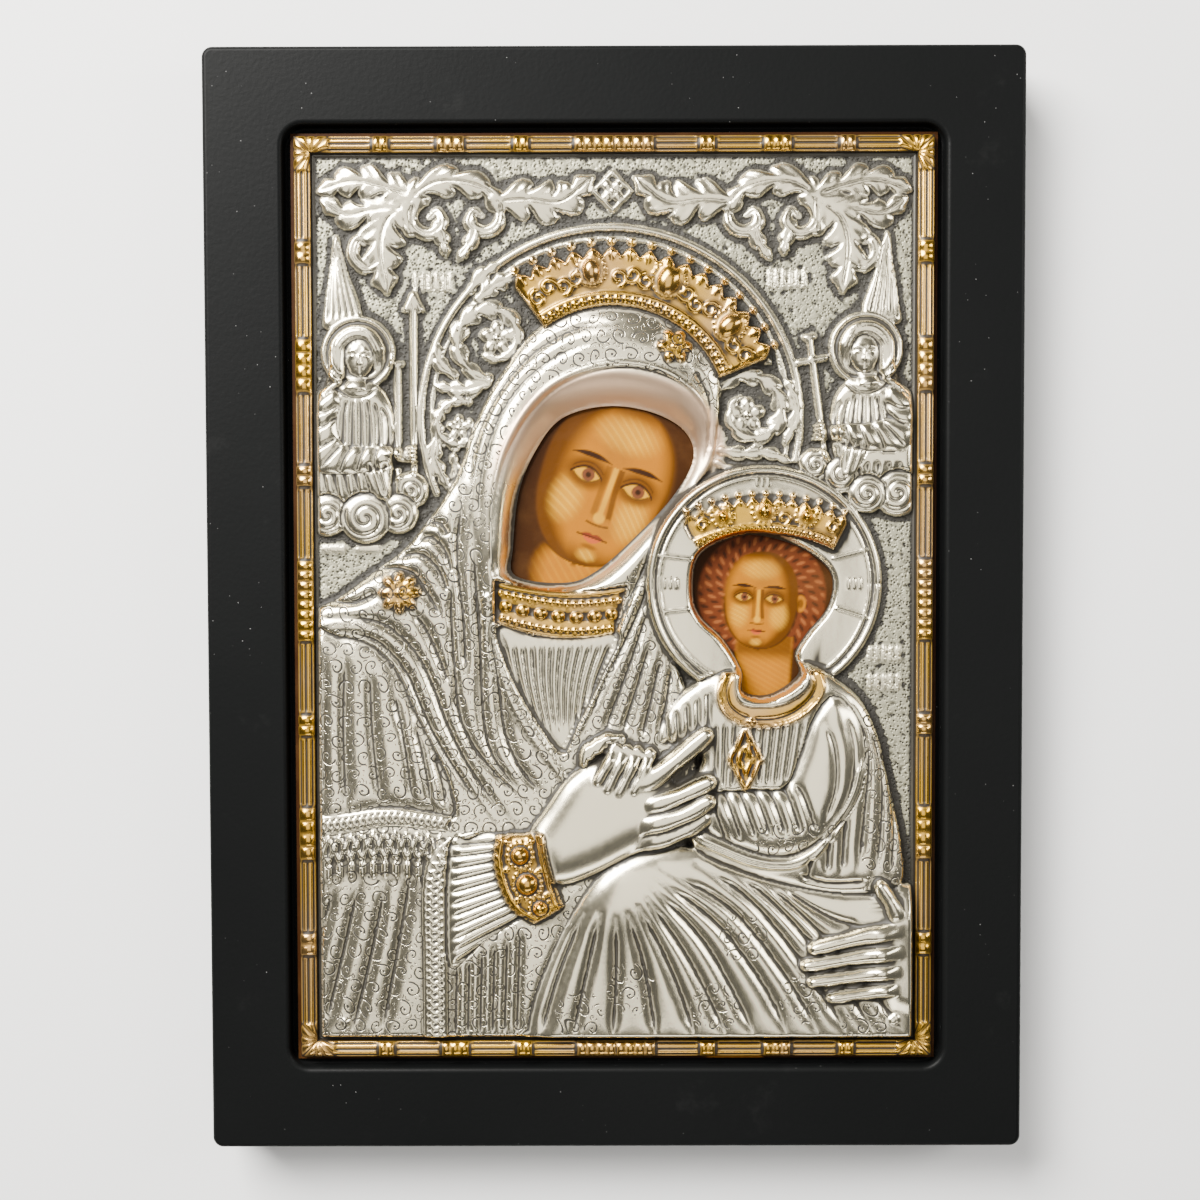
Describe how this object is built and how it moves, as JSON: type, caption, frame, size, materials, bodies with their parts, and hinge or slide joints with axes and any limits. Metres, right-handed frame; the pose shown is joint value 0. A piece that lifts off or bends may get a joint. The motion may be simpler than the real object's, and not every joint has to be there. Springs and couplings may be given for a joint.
{
  "type": "icon panel",
  "caption": "Devotional icon: black lacquered board with a recessed painted panel under a silver relief cover with gilt border, halos and crowns.",
  "frame": {"origin": "middle of the board's back, which lies on the ground", "axes": "+Z the way the picture faces, +Y towards the picture's top, +X to its right"},
  "size_m": [0.2, 0.27, 0.0243],
  "materials": {
    "board": "black satin lacquer, dusty and lightly scuffed",
    "painted_panel": "paint in ochre and brown under a thin varnish",
    "relief_cover": "pressed silver with dark patina in the hollows and gilt details"
  },
  "bodies": {
    "root": {"board": "board", "painted_panel": "painted_panel", "relief_cover": "relief_cover"}
  },
  "joints": []
}
